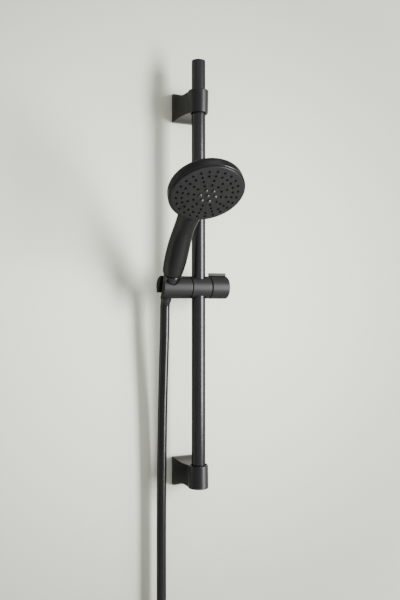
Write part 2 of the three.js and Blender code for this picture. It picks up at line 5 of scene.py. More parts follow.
import bpy
import numpy as np
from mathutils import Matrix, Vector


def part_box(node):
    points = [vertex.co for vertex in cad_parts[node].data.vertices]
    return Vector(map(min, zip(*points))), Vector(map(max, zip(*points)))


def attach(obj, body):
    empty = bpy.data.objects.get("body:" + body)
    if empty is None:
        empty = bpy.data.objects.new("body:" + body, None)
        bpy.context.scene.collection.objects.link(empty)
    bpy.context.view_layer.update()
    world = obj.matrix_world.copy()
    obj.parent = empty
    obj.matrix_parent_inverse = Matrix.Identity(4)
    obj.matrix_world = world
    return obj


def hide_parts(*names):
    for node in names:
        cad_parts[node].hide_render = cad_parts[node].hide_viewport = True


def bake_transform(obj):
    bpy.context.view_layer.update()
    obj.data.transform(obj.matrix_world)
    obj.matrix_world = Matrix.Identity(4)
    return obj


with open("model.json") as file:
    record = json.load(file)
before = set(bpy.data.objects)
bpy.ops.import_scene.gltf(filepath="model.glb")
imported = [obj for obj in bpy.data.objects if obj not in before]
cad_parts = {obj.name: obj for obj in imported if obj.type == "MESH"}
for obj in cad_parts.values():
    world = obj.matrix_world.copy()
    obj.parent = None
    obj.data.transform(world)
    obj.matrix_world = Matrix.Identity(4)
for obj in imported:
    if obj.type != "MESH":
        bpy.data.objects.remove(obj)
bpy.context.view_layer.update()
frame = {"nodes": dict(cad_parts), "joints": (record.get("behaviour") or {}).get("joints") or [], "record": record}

import openvdb
from mathutils import Matrix, Vector

MM = 0.001
JOINTS = {j["name"]: j for j in frame["joints"]}


def mm(values):
    """A point or box corner of the frame, in millimetres."""
    return np.array([v / MM for v in values])


# ---------------------------------------------------------------- places, in millimetres
RAIL_LOW, RAIL_HIGH = (mm(c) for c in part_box("rail_tube"))
RAIL_Y = (RAIL_LOW[1] + RAIL_HIGH[1]) / 2
SLIDER_AT = mm(JOINTS["slider_swivel"]["pos_m"])
HANDSET_AT = mm(JOINTS["hose_nut_turn"]["pos_m"])
HEAD_AT = mm(JOINTS["face_turn"]["pos_m"])
LIFT = np.array(JOINTS["handset_lift"]["axis"])
FACE_OUT = np.array(JOINTS["face_turn"]["axis"])
LOWER_BRACKET_Z = mm(frame["record"]["mounts"][1]["pos_m"])[2]

# ---------------------------------------------------------------- sizes, in millimetres
RAIL = {"r": 10, "bore": 8.8, "plug": 8.5, "plug_deep": 14}
BRACKET = {
    "ring": 14.4, "draft": 0.3, "height": 33.2, "bore": 11.7, "roof": 4, "recess": 15.3, "recess_deep": 5.3,
    "grub": 2.2, "grub_out": 2.9,
}
# The bracket's arm as (half size, distance from the wall): sides, waisted outer face and inner face.
ARM = {
    "side": [(21.5, 11), (17.6, 30), (13.6, 50)],
    "outer": [(21.5, 4), (17, 18), (13.6, 28), (14.6, 40), (16.2, 50)],
    "inner": [(21.5, 6.5), (18.3, 20), (16.9, 35), (16.6, 50)],
}
BUSH = {"inner": 10.15, "outer": 11.6, "half": 15.8, "closed_end": 12}
SLIDER = {
    "r": 16.35, "left": -15, "right": 15.2, "bore": 10.5, "hub": 8, "hub_left": -26.6, "neck": 11,
    "neck_right": 27, "sleeve": 12.3, "sleeve_half": 10.4, "clamp": 4.3, "clamp_left": 8,
}
KNOB = {
    "r": 16.65, "left": 15.8, "right": 44.2, "fin_top": 21.2, "fin_root": 14, "fin_half": 1.5,
    "hollow": 13.2, "hollow_right": 28.5, "screw": 4.4, "screw_right": 38.4,
}
HOLDER = {"left": -60, "right": -15.6, "slot": 7.5, "hub_depth": 28.4, "slack": 0.35}
PIVOT = {"hole": 2.8, "hole_left": -33.2, "head": 4.8, "head_left": -15.7}
NUT = {"top": 22, "bottom": -15, "top_r": 12, "bottom_r": 8.95, "thread": 9.55, "bore": 5.5, "floor": 3.5}
HEAD = {
    "r": 50.3, "mouth": 46.6, "mouth_deep": 11, "face": 46.3, "lip": 48.2, "proud": 1.7, "crown": 2.4,
    "band": 7, "dome": 18.2, "bore": 9, "bore_top": 40,
}
TWIST = math.radians(-2.93)      # how far the handset is turned in its holder
HOSE = {"r": 7, "bore": 3.6, "length": 1600, "collar": 7.65, "collar_end": -23, "collar_top": -15.4}
END_NUT = {"across": 23.8, "corner": 13.7, "low": 12, "high": 33, "thread": 10.5, "floor": 21.6, "bore": 5.5}
TIE = {"slack": 1.0, "corner": 4.5, "thick": 1.4, "wide": 6.6, "at": (0, 270)}
COIL = {"r": 75, "turns": 2, "pitch": 15.2, "entry": 60, "top": -500, "exit": math.radians(160)}


# ---------------------------------------------------------------- camera
CAMERA = {
    "at": (-0.4499, -1.0426, -0.2893), "yaw": math.radians(24.5), "lens": 44.7, "sensor": 36, "far": 30,
}


def make_camera():
    data = bpy.data.cameras.new("camera")
    data.sensor_width = CAMERA["sensor"]
    data.lens = CAMERA["lens"]
    data.clip_end = CAMERA["far"]
    camera = bpy.data.objects.new("camera", data)
    bpy.context.scene.collection.objects.link(camera)
    ahead = Vector((math.sin(CAMERA["yaw"]), math.cos(CAMERA["yaw"]), 0))
    camera.location = CAMERA["at"]
    camera.rotation_euler = ahead.to_track_quat("-Z", "Y").to_euler()
    bpy.context.scene.camera = camera


# ---------------------------------------------------------------- mesh tools
def make_object(name, points, faces, smooth=40):
    """A mesh object from row-frame points in millimetres. Edges sharper than smooth degrees stay sharp."""
    mesh = bpy.data.meshes.new(name)
    mesh.from_pydata([tuple(p) for p in np.asarray(points) * MM], [], faces)
    mesh.validate()
    mesh.shade_smooth()
    if smooth < 180:
        mesh.set_sharp_from_angle(angle=math.radians(smooth))
    obj = bpy.data.objects.new(name, mesh)
    bpy.context.scene.collection.objects.link(obj)
    return obj


def rounded(corners, steps=4):
    """Replaces each corner (a, b, radius) of an open outline by an arc."""
    out = []
    for i, corner in enumerate(corners):
        p = np.array(corner[:2], float)
        radius = corner[2] if len(corner) > 2 else 0
        if radius == 0 or i in (0, len(corners) - 1):
            out.append(p)
            continue
        before, after = np.array(corners[i - 1][:2]) - p, np.array(corners[i + 1][:2]) - p
        before, after = before / np.linalg.norm(before), after / np.linalg.norm(after)
        half = math.acos(np.clip(before @ after, -1, 1)) / 2
        reach = radius / math.tan(half)
        middle = p + (before + after) / np.linalg.norm(before + after) * radius / math.sin(half)
        start, end = p + before * reach - middle, p + after * reach - middle
        sweep = math.pi - 2 * half
        for k in range(steps + 1):
            a, b = math.sin((1 - k / steps) * sweep), math.sin(k / steps * sweep)
            out.append(middle + (a * start + b * end) / math.sin(sweep))
    return out


def turn(profile, segments=64, axis=(0, 0, 1), at=(0, 0, 0)):
    """Points and faces of a turned piece. The profile is (radius, height along the axis)."""
    closed = np.allclose(profile[0], profile[-1])
    rows = profile[:-1] if closed else profile
    frame_matrix = np.array(Vector(axis).to_track_quat("Z", "Y").to_matrix())
    points, index = [], []
    for r, h in rows:
        if r < 1e-6:
            index.append([len(points)] * segments)
            points.append((0, 0, h))
        else:
            index.append([len(points) + i for i in range(segments)])
            angles = [2 * math.pi * i / segments for i in range(segments)]
            points += [(r * math.cos(a), r * math.sin(a), h) for a in angles]
    faces = []
    pairs = list(zip(index, index[1:])) + ([(index[-1], index[0])] if closed else [])
    for low, high in pairs:
        for i in range(segments):
            j = (i + 1) % segments
            corners = [low[i], low[j], high[j], high[i]]
            face = [c for k, c in enumerate(corners) if c != corners[k - 1]]
            if len(face) > 2:
                faces.append(face)
    return np.array(points) @ frame_matrix.T + np.array(at), faces


def gather(parts):
    """Several (points, faces) as one."""
    points, faces, count = [], [], 0
    for p, f in parts:
        points.append(p)
        faces += [[i + count for i in face] for face in f]
        count += len(p)
    return np.concatenate(points), faces


def sweep(path, section, closed=False):
    """A section, in the path's own across and up directions, swept along a path without twist."""
    path = np.asarray(path, float)
    n, m = len(path), len(section)
    ahead = np.roll(path, -1, 0) - np.roll(path, 1, 0)
    if not closed:
        ahead[0], ahead[-1] = path[1] - path[0], path[-1] - path[-2]
    ahead /= np.linalg.norm(ahead, axis=1)[:, None]
    across = np.cross(ahead[0], (0, 0, 1) if abs(ahead[0][2]) < 0.9 else (1, 0, 0))
    points = []
    for k in range(n):
        across = across - ahead[k] * (across @ ahead[k])
        across /= np.linalg.norm(across)
        up = np.cross(ahead[k], across)
        points += [path[k] + a * across + b * up for a, b in section]
    faces = []
    for k in range(n if closed else n - 1):
        for i in range(m):
            j, k2 = (i + 1) % m, (k + 1) % n
            faces.append([k * m + i, k * m + j, k2 * m + j, k2 * m + i])
    if not closed:
        faces.append([i for i in range(m)][::-1])
        faces.append([(n - 1) * m + i for i in range(m)])
    return np.array(points), faces


def circle(radius, count):
    angles = [2 * math.pi * i / count for i in range(count)]
    return [(radius * math.cos(a), radius * math.sin(a)) for a in angles]


def spline(points, step):
    """A smooth curve through points, sampled about every step."""
    points = np.asarray(points, float)
    ends = [2 * points[0] - points[1], *points, 2 * points[-1] - points[-2]]
    out = []
    for p0, p1, p2, p3 in zip(ends, ends[1:], ends[2:], ends[3:]):
        t1 = np.linalg.norm(p1 - p0) ** 0.5
        t2 = t1 + np.linalg.norm(p2 - p1) ** 0.5
        t3 = t2 + np.linalg.norm(p3 - p2) ** 0.5
        count = max(2, int(np.linalg.norm(p2 - p1) / step))
        for t in np.linspace(t1, t2, count, endpoint=False):
            a1 = p0 * (t1 - t) / t1 + p1 * t / t1
            a2 = p1 * (t2 - t) / (t2 - t1) + p2 * (t - t1) / (t2 - t1)
            a3 = p2 * (t3 - t) / (t3 - t2) + p3 * (t - t2) / (t3 - t2)
            b1 = a1 * (t2 - t) / t2 + a2 * t / t2
            b2 = a2 * (t3 - t) / (t3 - t1) + a3 * (t - t1) / (t3 - t1)
            out.append(b1 * (t2 - t) / (t2 - t1) + b2 * (t - t1) / (t2 - t1))
    return np.array(out + [points[-1]])


# ---------------------------------------------------------------- surfaces given by a formula
def soft_min(a, b, k):
    h = np.clip(0.5 + 0.5 * (b - a) / k, 0, 1)
    return b + (a - b) * h - k * h * (1 - h)


def soft_max(a, b, k):
    return -soft_min(-a, -b, k)


def bar(r, along, radius, low, high, edge):
    """Distance to a round bar with rounded ends: r from its axis, along it."""
    a = r - radius + edge
    b = np.abs(along - (low + high) / 2) - (high - low) / 2 + edge
    return np.minimum(np.maximum(a, b), 0) + np.hypot(np.maximum(a, 0), np.maximum(b, 0)) - edge


def carve(d, tool, k=0.5):
    return soft_max(d, -tool, k)


def formula_mesh(name, field, low, high, step, at):
    """The surface where field is zero, inside a box about at. Its points are moved exactly onto it."""
    axes = [np.arange(a, b + step, step, dtype=np.float64) for a, b in zip(low, high)]
    grid = np.stack(np.meshgrid(*axes, indexing="ij"), -1)
    values = np.concatenate([field(slab.reshape(-1, 3)).reshape(slab.shape[:-1])[None] for slab in grid])
    volume = openvdb.FloatGrid()
    volume.background = 3 * step
    volume.copyFromArray(np.clip(values, -3 * step, 3 * step).astype(np.float32), tolerance=0.0)
    points, triangles, quads = volume.convertToPolygons(isovalue=0.0, adaptivity=0.0)
    points = points.astype(np.float64) * step + np.array(low)
    probe = 0.02 * np.eye(3)
    for _ in range(3):
        value = field(points)
        slope = np.stack([(field(points + p) - field(points - p)) / 0.04 for p in probe], -1)
        size = np.maximum((slope ** 2).sum(-1), 0.2)
        move = slope * (value / size)[:, None]
        length = np.linalg.norm(move, axis=1)[:, None]
        points -= move * np.minimum(1, 0.5 * step / np.maximum(length, 1e-9))
    faces = [list(map(int, f[::-1])) for f in (*quads, *triangles)]
    return make_object(name, points + np.array(at), faces, smooth=180)


# ---------------------------------------------------------------- materials
def rgb(level, tint=(1, 1, 1)):
    return (level * tint[0], level * tint[1], level * tint[2], 1)


def make_material(name, dark, light, roughness, grain, bump, metallic=0.0, edge=1.0, specular=0.5):
    """A finish in two close tones in soft patches, with a fine grain and slightly uneven gloss."""
    material = bpy.data.materials.new(name)
    material.use_nodes = True
    nodes, links = material.node_tree.nodes, material.node_tree.links
    shader = nodes["Principled BSDF"]
    shader.inputs["Metallic"].default_value = metallic
    shader.inputs["Specular IOR Level"].default_value = specular
    shader.inputs["Specular Tint"].default_value = (edge, edge, edge, 1)
    place = nodes.new("ShaderNodeTexCoord")
    patches = nodes.new("ShaderNodeTexNoise")
    patches.inputs["Scale"].default_value = 22
    patches.inputs["Detail"].default_value = 2
    fine = nodes.new("ShaderNodeTexNoise")
    fine.inputs["Scale"].default_value = grain
    fine.inputs["Detail"].default_value = 2
    tone = nodes.new("ShaderNodeMix")
    tone.data_type = "RGBA"
    tone.inputs["A"].default_value = dark
    tone.inputs["B"].default_value = light
    gloss = nodes.new("ShaderNodeMapRange")
    gloss.inputs["To Min"].default_value = roughness * 0.94
    gloss.inputs["To Max"].default_value = roughness * 1.06
    relief = nodes.new("ShaderNodeBump")
    relief.inputs["Strength"].default_value = bump
    relief.inputs["Distance"].default_value = 0.0001
    for noise in (patches, fine):
        links.new(place.outputs["Object"], noise.inputs["Vector"])
    links.new(patches.outputs["Fac"], tone.inputs["Factor"])
    links.new(tone.outputs["Result"], shader.inputs["Base Color"])
    links.new(patches.outputs["Fac"], gloss.inputs["Value"])
    links.new(gloss.outputs["Result"], shader.inputs["Roughness"])
    links.new(fine.outputs["Fac"], relief.inputs["Height"])
    links.new(relief.outputs["Normal"], shader.inputs["Normal"])
    return material


def make_black(name, level, roughness, grain, bump, edge=0.35):
    """A black finish that mirrors a little light evenly and stays dark at its edges, as matt paint does."""
    lighter = rgb(level * 1.2, (1, 1, 1.05))
    return make_material(
        name, rgb(level), lighter, roughness, grain, bump, metallic=0.8, edge=edge, specular=0.3,
    )


MATERIALS = {
    "matt_metal": make_black("matt_metal", 0.033, 0.27, 1300, 0.02),
    "matt_plastic": make_black("matt_plastic", 0.023, 0.28, 1900, 0.12),
    "face_grey": make_black("face_grey", 0.03, 0.4, 1900, 0.2),
    "nozzle_rubber": make_black("nozzle_rubber", 0.004, 0.55, 1400, 0.3),
    "jet_gloss": make_black("jet_gloss", 0.07, 0.2, 900, 0.02, edge=1.0),
    "hose_black": make_black("hose_black", 0.026, 0.24, 700, 0.05),
    "zinc_steel": make_material("zinc_steel", rgb(0.42), rgb(0.6), 0.32, 1500, 0.2, metallic=1.0),
    "white_plastic": make_material("white_plastic", rgb(0.68), rgb(0.76, (1, 1, 0.96)), 0.45, 900, 0.15),
}
POLISHED_BLACK = make_black("polished_black", 0.026, 0.16, 900, 0.02, edge=0.6)
CAST_BLACK = make_black("cast_black", 0.023, 0.4, 1500, 0.12, edge=0.9)
SATIN_BLACK = make_black("satin_black", 0.025, 0.46, 1900, 0.15)


def finish_piece(obj, slot_name, body, *nodes):
    """Gives a piece its finish and its body, and puts it in place of CAD nodes."""
    obj.data.materials.clear()
    obj.data.materials.append(MATERIALS[slot_name])
    if body:
        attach(obj, body)
    if nodes:
        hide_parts(*nodes)
    return obj


def dress_cad_nodes():
    """The CAD nodes that stay get the same procedural finishes."""
    slots = {s["node"]: s["material_slot"] for s in frame["record"]["subparts"]}
    for name, obj in frame["nodes"].items():
        obj.data.materials.clear()
        obj.data.materials.append(MATERIALS[slots[name]])


# ---------------------------------------------------------------- hose
def axis_point(s):
    """A point on the handset's axis, s above the slider's axis, about HANDSET_AT."""
    return LIFT * s


# The hose's free run as (towards the wall, up) from where the handset's axis crosses the slider's.
HOSE_RUN = [
    (13.9, -21.8), (15.2, -25.5), (15.9, -31), (16.1, -39), (16.4, -50), (17.3, -70), (18.9, -91),
    (21.6, -130), (24.8, -179), (27.2, -237), (29, -295), (29.8, -354), (29.8, -410), (29.8, -460),
]
COIL_BEND = math.acos(1 - COIL["r"] / (COIL["r"] + COIL["entry"]))
COIL_Z = COIL["top"] - (COIL["r"] + COIL["entry"]) * math.sin(COIL_BEND)
COIL_Y = HOSE_RUN[-1][0]
COIL_FIRST = math.pi - COIL_BEND
COIL_LAST = COIL["exit"] + 2 * math.pi * COIL["turns"]
TAIL_AHEAD = np.array([-math.sin(COIL["exit"]), 0, math.cos(COIL["exit"])])


def coil_turns(angle):
    """How many turns the coil has stepped forward at an angle along it."""
    middle = (COIL_FIRST + COIL_LAST) / 2
    return np.clip((angle - middle) / (2 * math.pi) + COIL["turns"] / 2, 0, COIL["turns"])


def hose_path():
    """The hose's centreline: the free run, the bend into the coil, the turns and the straight tail."""
    free = [(0, y, z) for y, z in HOSE_RUN]
    run = spline([axis_point(HOSE["collar_end"]), *free, (0, COIL_Y, COIL["top"])], 4)
    bend = [
        (-COIL["entry"] * (1 - math.cos(a)), COIL_Y, COIL["top"] - COIL["entry"] * math.sin(a))
        for a in np.linspace(0, COIL_BEND, 18)[1:]
    ]
    coil = [
        (COIL["r"] * math.cos(a), COIL_Y - COIL["pitch"] * coil_turns(a), COIL_Z + COIL["r"] * math.sin(a))
        for a in np.linspace(COIL_FIRST, COIL_LAST, 110)[1:]
    ]
    path = np.array([*run, *bend, *coil])
    tail = HOSE["length"] - np.linalg.norm(np.diff(path, axis=0), axis=1).sum()
    tail_points = [path[-1] + TAIL_AHEAD * tail * k / 12 for k in range(1, 13)]
    return np.array([*path, *tail_points]) + HANDSET_AT


def build_hose():
    path = hose_path()
    points, faces = sweep(path, circle(HOSE["r"], 28))
    hose = make_object("shower_hose", points, faces, 50)
    finish_piece(hose, "hose_black", None, "hose_run", "hose_coil", "hose_tail")
    exit_point = (HANDSET_AT + axis_point(HOSE["collar_end"])) * MM
    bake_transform(hose)
    return hose, path, exit_point


def tie_loop(angle):
    """The middle line of a strap round the hose's passes at an angle of the coil: a rounded rectangle."""
    around_coil = angle + 2 * math.pi * np.arange(COIL["turns"] + 1)
    steps = [coil_turns(a) for a in around_coil if COIL_FIRST < a < COIL_LAST]
    near = COIL_Y - max(steps) * COIL["pitch"] - HOSE["r"]
    far = COIL_Y - min(steps) * COIL["pitch"] + HOSE["r"]
    out, deep = np.array([math.cos(angle), 0, math.sin(angle)]), np.array([0, 1, 0])
    middle = np.array([0, (near + far) / 2, COIL_Z]) + out * COIL["r"] + HANDSET_AT
    corner = TIE["corner"]
    half_high, half_deep = HOSE["r"] + TIE["slack"] - corner, (far - near) / 2 + TIE["slack"] - corner
    loop = []
    for cx, cy, start in ((1, 1, 0), (-1, 1, 90), (-1, -1, 180), (1, -1, 270)):
        for t in np.radians(start + np.arange(0, 91, 15)):
            high = cx * half_high + corner * math.cos(t)
            loop.append(middle + out * high + deep * (cy * half_deep + corner * math.sin(t)))
    return loop


def build_coil_ties():
    """Flat rubber straps round the turns."""
    bevelled = [(1, .8), (.6, 1), (-.6, 1), (-1, .8), (-1, -.8), (-.6, -1), (.6, -1), (1, -.8)]
    section = [(TIE["thick"] / 2 * u, TIE["wide"] / 2 * v) for u, v in bevelled]
    ties = []
    for number, angle in enumerate(np.radians(TIE["at"]), 1):
        around = np.array([-math.sin(angle), 0, math.cos(angle)])
        tie = make_object(f"coil_strap_{number}", *strap(tie_loop(angle), section, around), 40)
        ties.append(finish_piece(tie, "nozzle_rubber", "hose", f"coil_tie_{number}"))
    return ties


def strap(loop, section, wide):
    """A flat band round a closed loop. The section is (thickness, width); wide points along the width."""
    loop = np.asarray(loop)
    n, m = len(loop), len(section)
    points, faces = [], []
    for k in range(n):
        ahead = loop[(k + 1) % n] - loop[k - 1]
        out = np.cross(ahead, wide)
        out /= np.linalg.norm(out)
        points += [loop[k] + a * out + b * wide for a, b in section]
        for i in range(m):
            j, ahead_row = (i + 1) % m, (k + 1) % n * m
            faces.append([k * m + i, k * m + j, ahead_row + j, ahead_row + i])
    return np.array(points), faces


def end_nut_field(p):
    """The hexagonal nut, along the hose from where the hose ends."""
    r = np.hypot(p[:, 0], p[:, 1])
    flats = np.radians((30, 90, 150))
    across = np.max([np.abs(p[:, 0] * math.cos(a) + p[:, 1] * math.sin(a)) for a in flats], 0)
    barrel = bar(r, p[:, 2], END_NUT["corner"], END_NUT["low"], END_NUT["high"], 1.6)
    d = soft_max(barrel, across - END_NUT["across"] / 2, 0.8)
    thread = bar(r, p[:, 2], END_NUT["thread"], END_NUT["floor"], 2 * END_NUT["high"], 0.1)
    return carve(carve(d, thread), r - END_NUT["bore"])


def build_hose_fittings(path):
    end = path[-1]
    bore, neck, flange = HOSE["bore"], 5.2, 9.6
    collar_long, flange_at, flange_end = 9, 22, 23.6
    profile = rounded([
        (bore, 0), (HOSE["collar"], 0, 0.6), (HOSE["collar"], collar_long, 0.8), (neck, collar_long),
        (neck, flange_at), (flange, flange_at), (flange, flange_end), (bore, flange_end), (bore, 0),
    ])
    ferrule = make_object("hose_end_ferrule", *turn(profile, 48, TAIL_AHEAD, end))
    finish_piece(ferrule, "matt_metal", "hose", "end_ferrule")
    nut = formula_mesh("inlet_nut", end_nut_field, (-15, -15, 10.5), (15, 15, 34.5), 0.6, (0, 0, 0))
    turn_to = Vector((0, 0, 1)).rotation_difference(Vector(TAIL_AHEAD)).to_matrix().to_4x4()
    nut.data.transform(Matrix.Translation(Vector(end * MM)) @ turn_to)
    finish_piece(nut, "matt_metal", "inlet_nut", "end_nut")
    return ferrule, nut


make_camera()
dress_cad_nodes()
hose, hose_line, hose_exit = build_hose()
straps = build_coil_ties()
ferrule, inlet_nut = build_hose_fittings(hose_line)


# ---------------------------------------------------------------- rail and brackets
def build_rail():
    low, high = RAIL_LOW[2], RAIL_HIGH[2]
    r, bore, plug = RAIL["r"], RAIL["bore"], RAIL["plug"]
    tube = rounded([(bore, low), (r, low, 0.2), (r, high, 0.25), (bore, high), (bore, low)])
    rail = make_object("slide_rail", *turn(tube, 72, (0, 0, 1), (0, RAIL_Y, 0)))
    finish_piece(rail, "matt_metal", "rail_frame", "rail_tube")
    seat = high + 0.15
    plug_end = seat - RAIL["plug_deep"]
    cap = rounded([
        (0, plug_end), (plug, plug_end, 0.4), (plug, seat, 0), (r, seat, 0.15), (r, seat + 0.9, 0.6),
        (7, seat + 1.8, 6), (0, seat + 2.3),
    ])
    top = make_object("rail_cap", *turn(cap, 72, (0, 0, 1), (0, RAIL_Y, 0)))
    finish_piece(top, "matt_plastic", "rail_frame", "rail_top_plug")


def arm_edge(face, t):
    """Half size of the bracket's arm at one face, t out from the wall."""
    curve = spline(ARM[face], 1)
    return np.interp(t, curve[:, 1], curve[:, 0])


def bracket_field(closed_end):
    """The upper bracket, about its wall face's centre. The lower one is turned over and has a closed end."""
    tall = BRACKET["height"] / 2
    bore_top = tall - BRACKET["roof"] if closed_end else 2 * tall

    def field(p):
        t = -p[:, 1]
        faces = np.maximum(p[:, 2] - arm_edge("outer", t), -p[:, 2] - arm_edge("inner", t))
        d = soft_max(np.abs(p[:, 0]) - arm_edge("side", t), faces, 0.8)
        d = soft_max(soft_max(d, -t, 0.3), t + RAIL_Y, 0.3)
        r = np.hypot(p[:, 0], p[:, 1] - RAIL_Y)
        ring = bar(r, p[:, 2], BRACKET["ring"], -tall, tall, 0.7) - BRACKET["draft"] * p[:, 2] / tall
        d = soft_min(d, ring, 1.6)
        d = carve(d, np.maximum(r - BRACKET["bore"], p[:, 2] - bore_top), 0.4)
        recess = np.maximum(np.abs(p[:, 0]), np.abs(p[:, 2])) - BRACKET["recess"]
        d = carve(d, np.maximum(recess, t - BRACKET["recess_deep"]), 0.3)
        hole = np.hypot(p[:, 0], p[:, 1] + BRACKET["grub_out"]) - BRACKET["grub"]
        return carve(d, np.maximum(hole, -p[:, 2]), 0.3)

    return field


def build_brackets():
    inner, outer, half = BUSH["inner"], BUSH["outer"], BUSH["half"]
    for side, z, flip in (("upper", 0, 1), ("lower", LOWER_BRACKET_Z, -1)):
        upright = bracket_field(flip < 0)
        turned_over = np.array([1, 1, flip])
        bracket = formula_mesh(f"{side}_wall_bracket", lambda p: upright(p * turned_over),
                               (-23, -66.5, -23), (23, 1.5, 23), 0.7, (0, 0, z))
        finish_piece(bracket, "matt_metal", "rail_frame", f"{side}_bracket")
        bracket.data.materials[0] = CAST_BLACK
        low = z - (half if flip > 0 else BUSH["closed_end"])
        high = z + half
        sleeve = rounded([(inner, low), (outer, low, 0.3), (outer, high, 0.3), (inner, high), (inner, low)])
        bush = make_object(f"{side}_bracket_sleeve", *turn(sleeve, 64, (0, 0, 1), (0, RAIL_Y, 0)))
        finish_piece(bush, "matt_plastic", "rail_frame", f"{side}_ring_bush")


# ---------------------------------------------------------------- slider, knob and holder
def slider_field(p):
    """The barrel that the rail passes through, about the slider's axis, with a hub at each end."""
    x, z = p[:, 0], p[:, 2]
    r = np.hypot(p[:, 1], z)
    d = bar(r, x, SLIDER["r"], SLIDER["left"], SLIDER["right"], 0.7)
    d = np.minimum(d, bar(r, x, SLIDER["hub"], SLIDER["hub_left"], 0, 0.5))
    d = np.minimum(d, bar(r, x, SLIDER["neck"], 0, SLIDER["neck_right"], 0.5))
    upright = np.hypot(x, p[:, 1])
    d = carve(d, upright - SLIDER["bore"], 0.6)
    d = carve(d, np.maximum(upright - SLIDER["sleeve"], np.abs(z) - SLIDER["sleeve_half"]), 0.2)
    d = carve(d, np.maximum(r - SLIDER["clamp"], SLIDER["clamp_left"] - x), 0.2)
    d = carve(d, np.maximum(r - PIVOT["head"], np.maximum(PIVOT["head_left"] - x, x)), 0.2)
    return carve(d, np.maximum(r - PIVOT["hole"], x), 0.2)


def knob_field(p):
    """The hollow knob with a thin fin along its top."""
    x, left, right, edge = p[:, 0], KNOB["left"], KNOB["right"], 0.6
    r = np.hypot(p[:, 1], p[:, 2])
    d = bar(r, x, KNOB["r"], left, right, 1.4)
    side = np.abs(p[:, 1]) - KNOB["fin_half"] + edge
    length = np.abs(x - (left + right) / 2) - (right - left) / 2 + 1.5 * edge
    height = np.abs(p[:, 2] - KNOB["fin_root"]) - (KNOB["fin_top"] - KNOB["fin_root"]) + edge
    fin = np.sqrt(sum(np.maximum(v, 0) ** 2 for v in (side, length, height))) - edge
    fin = fin + np.minimum(np.maximum(np.maximum(side, length), height), 0)
    d = soft_min(d, fin, 1.2)
    d = carve(d, bar(r, x, KNOB["hollow"], -left, KNOB["hollow_right"], 0.4), 0.4)
    return carve(d, np.maximum(r - KNOB["screw"], x - KNOB["screw_right"]), 0.2)


def cone_r(s):
    """Radius of the cone nut, s up the handset's axis."""
    share = (s - NUT["bottom"]) / (NUT["top"] - NUT["bottom"])
    return NUT["bottom_r"] + (NUT["top_r"] - NUT["bottom_r"]) * share


def holder_field(p):
    """The C-shaped cup, about where the handset's axis crosses the slider's."""
    x = p[:, 0] + HANDSET_AT[0]
    r = np.hypot(p[:, 1], p[:, 2])
    d = bar(r, x, SLIDER["r"], HOLDER["left"], HOLDER["right"], 0.9)
    s = p[:, 1] * LIFT[1] + p[:, 2] * LIFT[2]
    v = p[:, 1] * LIFT[2] - p[:, 2] * LIFT[1]
    d = carve(d, np.hypot(p[:, 0], v) - cone_r(s) - HOLDER["slack"], 1.3)
    d = carve(d, soft_max(np.abs(v) - HOLDER["slot"], p[:, 0], 0.5), 1.2)
    d = carve(d, np.maximum(r - SLIDER["hub"] - 0.3, -HOLDER["hub_depth"] - x), 0.2)
    return carve(d, np.maximum(r - PIVOT["hole"], PIVOT["hole_left"] - x), 0.2)


def build_slider():
    body = formula_mesh("slider_barrel", slider_field, (-28, -18, -18), (28, 18, 18), 0.5, SLIDER_AT)
    finish_piece(body, "matt_plastic", "slider", "slider_body")
    knob = formula_mesh("knob_grip", knob_field, (14, -18.5, -18.5), (45, 18.5, 23), 0.5, SLIDER_AT)
    finish_piece(knob, "matt_plastic", "knob", "lock_knob")
    cup = formula_mesh("holder_cup", holder_field, (-15, -18, -18), (33, 18, 18), 0.5, HANDSET_AT)
    finish_piece(cup, "matt_plastic", "holder", "handset_holder")
    for piece in (body, knob, cup):
        piece.data.materials[0] = SATIN_BLACK


# ---------------------------------------------------------------- handset
# Stations up the handle: forward, up, half width across, half depth front to back.
HANDLE = [
    (12.4, 19.4, 13.6, 13.6), (12.9, 20.2, 13.9, 13.9), (15.6, 24.6, 14.8, 14.8), (20.2, 32, 15.5, 15.5),
    (24.2, 38, 15.9, 15.9), (31.1, 48.9, 15.9, 15.9), (38.3, 59.7, 15.5, 15.5), (46.3, 70.1, 14.8, 14.8),
    (55.6, 80.3, 14.3, 14.1), (66.8, 90.2, 14.9, 13.9), (78, 99.5, 16.8, 13.4), (90, 108.8, 20, 11.4),
    (102, 118, 23.5, 8.8), (112, 125.7, 24, 5.8),
]
HANDLE_START = 23            # where the casing starts, along the handset's axis
STATION_STEP = 2.2
STATIONS = spline([(-4, -6, 11, 11), *HANDLE], STATION_STEP)
AHEAD = np.gradient(STATIONS[:, :2], axis=0)
AHEAD /= np.linalg.norm(AHEAD, axis=1)[:, None]


def handle_distance(p):
    """Distance to the curved handle, from its nearest station."""
    place = np.stack([-p[:, 1], p[:, 2]], -1)
    near = ((place[:, None, :] - STATIONS[None, :, :2]) ** 2).sum(-1).argmin(1)
    offset = place - STATIONS[near, :2]
    along = (offset * AHEAD[near]).sum(-1)
    step = np.clip(along / STATION_STEP, -1, 1)
    other = np.clip(near + np.sign(step).astype(int), 0, len(STATIONS) - 1)
    share = np.abs(step)[:, None]
    size = STATIONS[near, 2:] * (1 - share) + STATIONS[other, 2:] * share
    side = offset[:, 0] * AHEAD[near, 1] - offset[:, 1] * AHEAD[near, 0]
    tube = (np.sqrt((p[:, 0] / size[:, 0]) ** 2 + (side / size[:, 1]) ** 2) - 1) * size.min(1)
    return soft_max(tube, (place - STATIONS[-1, :2]) @ AHEAD[-1], 2)


# The casing is drawn straight, then turned in the holder by TWIST.
TURNED = np.array(Matrix.Rotation(TWIST, 3, Vector(LIFT)))
HEAD_STRAIGHT = (HEAD_AT - HANDSET_AT) @ TURNED
FACE_STRAIGHT = FACE_OUT @ TURNED


